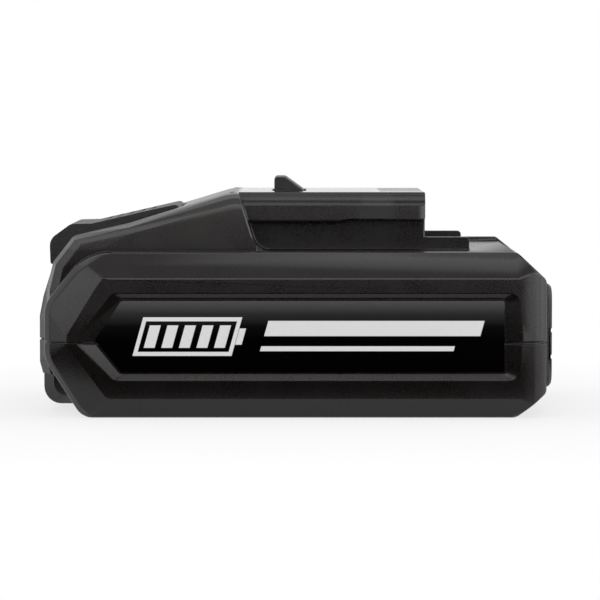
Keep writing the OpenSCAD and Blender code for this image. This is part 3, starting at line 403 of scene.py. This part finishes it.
finishes = {
    # the housing's tone is lightened with dust, scuffs, painted highlights and a painted reflection, from
    # railLook
    "housing_plastic": newFinish("housingPlastic", mouldedPlastic, plasticLook(
        (0.0040, 0.0025, 0.0023), (0.0066, 0.0044, 0.0041), wear=railLook)),
    "latch_plastic": newFinish("latchPlastic", mouldedPlastic, plasticLook(
        (0.0030, 0.0030, 0.0030), (0.0055, 0.0054, 0.0053), rough=0.48, grain=0.45 * mm, depth=0.07 * mm)),
    "bumper_rubber": newFinish("bumperRubber", mouldedPlastic, plasticLook(
        (0.020, 0.020, 0.019), (0.032, 0.032, 0.031), rough=0.60, cloud=5 * mm, flecks=0.15)),
    "block_plastic": newFinish("blockPlastic", mouldedPlastic, plasticLook(
        (0.020, 0.020, 0.022), (0.032, 0.032, 0.034), rough=0.40)),
    "chip_resin": newFinish("chipResin", mouldedPlastic, plasticLook(
        (0.010, 0.010, 0.010), (0.016, 0.016, 0.016), rough=0.55, grain=0.12 * mm)),
    "sensor_resin": newFinish("sensorResin", mouldedPlastic, plasticLook(
        (0.02, 0.025, 0.12), (0.03, 0.04, 0.18), rough=0.30, grain=0.2 * mm)),
    "holder_plastic": newFinish("holderPlastic", mouldedPlastic, plasticLook(
        (0.055, 0.058, 0.064), (0.075, 0.078, 0.085), rough=0.45)),
    "screw_steel": newFinish("screwSteel", workedMetal, metalLook(
        (0.30, 0.30, 0.31), (0.42, 0.42, 0.43), (0.16, 0.15, 0.14), stretch=(1, 1, 0.15))),
    "spring_steel": newFinish("springSteel", workedMetal, metalLook(
        (0.45, 0.45, 0.47), (0.60, 0.60, 0.62), (0.30, 0.29, 0.28), stretch=(1, 1, 3), rough=0.24)),
    "contact_copper": newFinish("contactCopper", workedMetal, metalLook(
        (0.62, 0.36, 0.17), (0.80, 0.50, 0.26), (0.36, 0.20, 0.11), stretch=(0.1, 1, 1))),
    "shunt_metal": newFinish("shuntMetal", workedMetal, metalLook(
        (0.45, 0.41, 0.36), (0.60, 0.56, 0.50), (0.30, 0.26, 0.22))),
    "link_nickel": newFinish("linkNickel", workedMetal, metalLook(
        (0.52, 0.51, 0.47), (0.66, 0.65, 0.60), (0.40, 0.38, 0.34), stretch=(0.08, 1, 1))),
    "label_film": newFinish("labelFilm", labelFilm, labelLook),
    "board_laminate": newFinish("boardLaminate", boardLaminate, {
        "dark": (0.004, 0.050, 0.020), "light": (0.007, 0.075, 0.032), "trackTone": (0.03, 0.16, 0.07),
        "trackPitch": 1.6 * mm, "trackHalf": 0.24, "trackSoft": 0.1, "trackShare": 0.55, "field": 7 * mm,
        "weave": 0.5 * mm, "weaveRough": 0.12, "weaveRise": 0.3, "rough": 0.32, "depth": 0.03 * mm}),
    "cell_wrap": newFinish("cellWrap", cellWrap, {
        "dark": (0.012, 0.10, 0.24), "light": (0.020, 0.15, 0.33), "steel": (0.55, 0.55, 0.56),
        "wrapEnd": (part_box("cell_1")[1].y - 0.55 * mm, 0.1 * mm), "crinkle": 2 * mm, "stretch": (1, 0.2, 1),
        "crinkleRough": 0.2, "rough": 0.34, "depth": 0.05 * mm}),
    "insulator_fibre": newFinish("insulatorFibre", porous, porousLook(
        (0.52, 0.52, 0.46), (0.70, 0.70, 0.62), (0.40, 0.36, 0.28), pore=0.3 * mm, depth=0.03 * mm)),
    "foam": newFinish("packFoam", porous, porousLook(
        (0.020, 0.020, 0.022), (0.060, 0.060, 0.064), (0.10, 0.10, 0.10), pore=0.6 * mm, depth=0.2 * mm)),
}
print("finishes made:", len(finishes))


def dress(piece, slot):
    piece.data.materials.clear()
    piece.data.materials.append(finishes[slot])


# every solid that shows as it is takes its slot's finish
slotOf = {row["node"]: row["material_slot"] for row in frame["record"]["subparts"]}
for name, solid in nodes.items():
    dress(solid, slotOf[name])

# moulded pieces: a merged copy of the solid whose edges are rounded as a mould leaves them
roundedPieces = {
    "lowerHousing": {"node": "lower_shell", "body": "pack", "edge": 0.35 * mm},
    "upperHousing": {"node": "upper_shell", "body": "pack", "edge": 0.35 * mm},
    "rearBumper": {"node": "rear_bumper", "body": "pack", "edge": 0.5 * mm},
    "releaseLatch": {"node": "release_latch", "body": "latch", "edge": 0.35 * mm},
}
edgeRule = {
    "merge": 0.02 * mm, "segments": 2,
    "flatWithin": 0.8, "sharpFrom": 16,         # degrees between two faces
    "room": 0.42,                               # of the shortest edge beside it, at most
    "least": 0.3,                               # of the full width, or the edge stays sharp
    "evenBy": 100, "levelFrom": 0.99,           # weight of wide faces, upward part of a level face's normal
    "footX": -53 * mm, "footY": 29 * mm,        # the front foot keeps its sharp edges
}


def mergedCopy(name, solid, rule):
    mesh = bpy.data.meshes.new(name)
    copy = bmesh.new()
    copy.from_mesh(solid.data)
    bmesh.ops.remove_doubles(copy, verts=copy.verts, dist=rule["merge"])
    bmesh.ops.dissolve_degenerate(copy, dist=rule["merge"], edges=copy.edges)
    flat = math.radians(rule["flatWithin"])
    bmesh.ops.dissolve_limit(copy, angle_limit=flat, verts=copy.verts, edges=copy.edges)
    level = [face for face in copy.faces if abs(face.normal.z) > rule["levelFrom"]]
    bmesh.ops.connect_verts_concave(copy, faces=level)          # level faces with openings are cut up
    copy.to_mesh(mesh)
    copy.free()
    return mesh


def readAll(items, name, kind, width=1):
    values = np.empty(len(items) * width, kind)
    items.foreach_get(name, values)
    return values.reshape(-1, width) if width > 1 else values


# edge weight: the turn between its two faces decides if it is rounded, its shortest neighbour how wide,
# and an edge with little room beside it stays sharp
def weighEdges(mesh, width, rule):
    faceOf = np.repeat(np.arange(len(mesh.polygons)), readAll(mesh.polygons, "loop_total", int))
    order = np.argsort(readAll(mesh.loops, "edge_index", int), kind="stable")
    pairs = faceOf[order].reshape(-1, 2)            # a closed mesh has two faces on each edge
    normals = readAll(mesh.polygons, "normal", float, 3)
    cosine = (normals[pairs[:, 0]] * normals[pairs[:, 1]]).sum(1)
    sharp = cosine < math.cos(math.radians(rule["sharpFrom"]))
    ends = readAll(mesh.edges, "vertices", int, 2)
    points = readAll(mesh.vertices, "co", float, 3)
    first, last = points[ends[:, 0]], points[ends[:, 1]]
    length = np.linalg.norm(first - last, axis=1)
    shortest = np.full(len(points), np.inf)
    np.minimum.at(shortest, ends[:, 0], length)
    np.minimum.at(shortest, ends[:, 1], length)
    room = np.minimum(shortest[ends[:, 0]], shortest[ends[:, 1]]) * rule["room"]
    middle = (first + last) / 2
    foot = (middle[:, 0] < rule["footX"]) & (abs(middle[:, 1]) < rule["footY"])
    rounded = sharp & ~foot & (room > rule["least"] * width)
    weight = np.where(rounded, np.clip(room / width, 0, 1), 0)
    layer = mesh.attributes.new("bevel_weight_edge", "FLOAT", "EDGE")
    layer.data.foreach_set("value", weight.astype(np.float32))
    return int(rounded.sum())


def makeRounded(name, values, rule):
    mesh = mergedCopy(name, nodes[values["node"]], rule)
    count = weighEdges(mesh, values["edge"], rule)
    mesh.shade_smooth()
    mesh.set_sharp_from_angle(angle=math.radians(rule["sharpFrom"]))
    piece = bpy.data.objects.new(name, mesh)
    scene.collection.objects.link(piece)
    rounding = piece.modifiers.new("mouldEdge", "BEVEL")
    rounding.limit_method = "WEIGHT"
    rounding.width = values["edge"]
    rounding.segments = rule["segments"]
    rounding.use_clamp_overlap = False
    rounding.harden_normals = True
    evening = piece.modifiers.new("evenShade", "WEIGHTED_NORMAL")     # wide faces stay flat
    evening.weight = rule["evenBy"]
    evening.keep_sharp = True
    dress(piece, slotOf[values["node"]])
    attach(piece, values["body"])
    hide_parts(values["node"])
    print("rounded", name, count, "edges")


for name, values in roundedPieces.items():
    makeRounded(name, values, edgeRule)


# latch springs: a round wire carried along a helix whose end turns close up
springShape = {"turns": 7, "wire": 0.7 * mm, "sides": 12, "stepsPerTurn": 40, "endGap": 0.5 * mm}


def makeSpring(name, solidName, shape):
    low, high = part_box(solidName)
    middle = (low + high) / 2
    radius = (high.x - low.x) / 2 - shape["wire"] / 2
    turns = shape["turns"]
    turn = np.linspace(0, turns, turns * shape["stepsPerTurn"] + 1)
    # height climbs by one close pitch in the first and last turn and evenly between
    endPitch = shape["wire"] + shape["endGap"]
    span = high.z - low.z - shape["wire"]
    midPitch = (span - 2 * endPitch) / (turns - 2)
    climb = np.interp(turn, [0, 1, turns - 1, turns], [0, endPitch, endPitch + midPitch * (turns - 2), span])
    angle = 2 * np.pi * turn
    out = np.stack([np.cos(angle), np.sin(angle), np.zeros_like(angle)], 1)
    line = radius * out
    line[:, 2] = low.z + shape["wire"] / 2 + climb
    line[:, 0] += middle.x
    line[:, 1] += middle.y
    run = np.gradient(line, axis=0)
    run /= np.linalg.norm(run, axis=1, keepdims=True)
    up = np.cross(out, run)
    # each ring is a circle about the line, in the plane of out and up
    around = 2 * np.pi * np.arange(shape["sides"]) / shape["sides"]
    ring = np.cos(around)[None, :, None] * out[:, None, :] + np.sin(around)[None, :, None] * up[:, None, :]
    points = (line[:, None, :] + ring * shape["wire"] / 2).reshape(-1, 3)
    rows, sides = len(turn), shape["sides"]
    here = np.arange((rows - 1) * sides).reshape(rows - 1, sides)
    beside = np.roll(here, -1, axis=1)
    faces = np.stack([here, beside, beside + sides, here + sides], 2).reshape(-1, 4).tolist()
    faces += [list(range(sides))[::-1], list(range((rows - 1) * sides, rows * sides))]
    mesh = bpy.data.meshes.new(name)
    mesh.from_pydata(points, [], faces)
    mesh.shade_smooth()
    spring = bpy.data.objects.new(name, mesh)
    scene.collection.objects.link(spring)
    dress(spring, "spring_steel")
    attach(spring, "pack")
    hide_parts(solidName)
    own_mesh(spring)


makeSpring("latchSpringRight", "latch_spring_right", springShape)
makeSpring("latchSpringLeft", "latch_spring_left", springShape)
print("springs wound")


# studio: a white floor and world, a wide lamp overhead, dark flags and bright cards that only gloss sees
def card(middle, size, level, lean=90, turn=0):     # level 0 is a black flag, 1 is as bright as white
    return {"middle": middle, "size": size, "level": level, "lean": lean, "turn": turn}


studio = {
    "floorSize": 6.0, "floorTone": (0.86, 0.86, 0.86), "floorSpot": 120 * mm, "floorLift": 1.03,
    "shadowShare": 0.26, "shadowReach": (0.16, 0.11), "shadowEnd": (0.9, 0.7),
    "ambient": 0.80,
    "topLamp": {"place": (-0.05, 0.05, 0.95), "size": (1.5, 1.3), "level": 0.40},
    "cards": {
        "lowFlag": card((-0.0125, -0.088, 0.016), (0.145, 0.032), 0.0),
        "floorFlag": card((0, -0.765, 0.001), (0.26, 1.43), 0.0, lean=0),
        "frontFlag": card((0, -1.5, 0.13), (2.4, 0.26), 0.0),
        "frontCard": card((0, -1.5, 0.87), (1.2, 1.2), 2.2),
        "leftCard": card((-0.80, -0.95, 0.50), (0.7, 1.0), 1.9, turn=-40),
        "rightCard": card((0.78, -0.90, 0.35), (0.9, 0.7), 2.5, turn=40),
        "highFlag": card((0, -0.477, 0.824), (1.6, 0.5), 0.5, lean=29),
        "sideCard": card((1.15, -0.20, 0.35), (0.9, 0.7), 3.2, turn=80),
    },
}


def makePlane(name, middle, size, lean=0, turn=0):
    # corners run round a flat rectangle, leant about X, turned about Z and moved in the mesh
    flat = np.array([(-1, -1, 0), (1, -1, 0), (1, 1, 0), (-1, 1, 0)]) * (size[0] / 2, size[1] / 2, 0)
    turned = flat @ np.array(Euler((math.radians(lean), 0, math.radians(turn))).to_matrix()).T
    mesh = bpy.data.meshes.new(name)
    mesh.from_pydata((turned + np.array(middle)).tolist(), [], [(0, 1, 2, 3)])
    plane = bpy.data.objects.new(name, mesh)
    scene.collection.objects.link(plane)
    return plane


def seenDirectly(sheet):                    # 1 for what the camera sees, also in gloss and glass
    path = sheet.node("ShaderNodeLightPath")
    seen = path.other("Is Camera Ray").most(path.other("Is Glossy Ray"))
    return seen.most(path.other("Is Transmission Ray"))


def floorPaint(sheet, look):
    spot = sheet.noise(look["floorSpot"], detail=3)
    tone = sheet.mix(spot, look["floorTone"], tuple(part * look["floorLift"] for part in look["floorTone"]))
    matt = sheet.node("ShaderNodeBsdfDiffuse", {}, {"Color": tone})
    white = sheet.node("ShaderNodeEmission", {}, {"Strength": 1.0})
    reach = sheet.stretched((1 / look["shadowReach"][0], 1 / look["shadowReach"][1], 0))
    far = sheet.node("ShaderNodeVectorMath", {"operation": "LENGTH"}, {0: reach}).other("Value")
    near = 1 - far.above(*look["shadowEnd"])        # 1 round the object, 0 where the floor is plain white
    share = seenDirectly(sheet) * (1 - near * look["shadowShare"])
    return sheet.node("ShaderNodeMixShader", {}, {0: share, 1: matt, 2: white})


def cardPaint(sheet, look):
    return sheet.node("ShaderNodeEmission", {}, {"Strength": look["level"]})


def makeLamp(name, values):
    data = bpy.data.lights.new(name, "AREA")
    data.shape = "RECTANGLE"
    data.size, data.size_y = values["size"]
    data.energy = values["level"] * math.pi * data.size * data.size_y
    lamp = bpy.data.objects.new(name, data)
    lamp.location = values["place"]
    lamp.visible_camera = False
    scene.collection.objects.link(lamp)


def makeCard(name, values):                 # only gloss sees a card, and it casts no light or shadow
    plane = makePlane(name, values["middle"], values["size"], values["lean"], values["turn"])
    paint = newFinish(name, cardPaint, values)
    paint.cycles.emission_sampling = "NONE"
    plane.data.materials.append(paint)
    plane.visible_camera = False
    plane.visible_diffuse = False
    plane.visible_shadow = False
    plane.visible_transmission = False


def makeStudio(values):
    floor = makePlane("studioFloor", (0, 0, 0), (values["floorSize"], values["floorSize"]))
    floor.data.materials.append(newFinish("floorPaint", floorPaint, values))
    for name, place in values["cards"].items():
        makeCard(name, place)
    world = bpy.data.worlds.new("studioWorld")
    scene.world = world
    world.use_nodes = True
    world.cycles.sampling_method = "NONE"   # so that the cards hide it from gloss
    sheet = Sheet(world.node_tree)
    strength = values["ambient"] + seenDirectly(sheet) * (1 - values["ambient"])
    white = sheet.node("ShaderNodeBackground", {}, {"Color": (1, 1, 1, 1), "Strength": strength})
    sheet.node("ShaderNodeOutputWorld", {}, {"Surface": white})
    makeLamp("topLamp", values["topLamp"])


makeStudio(studio)
print("studio lit")
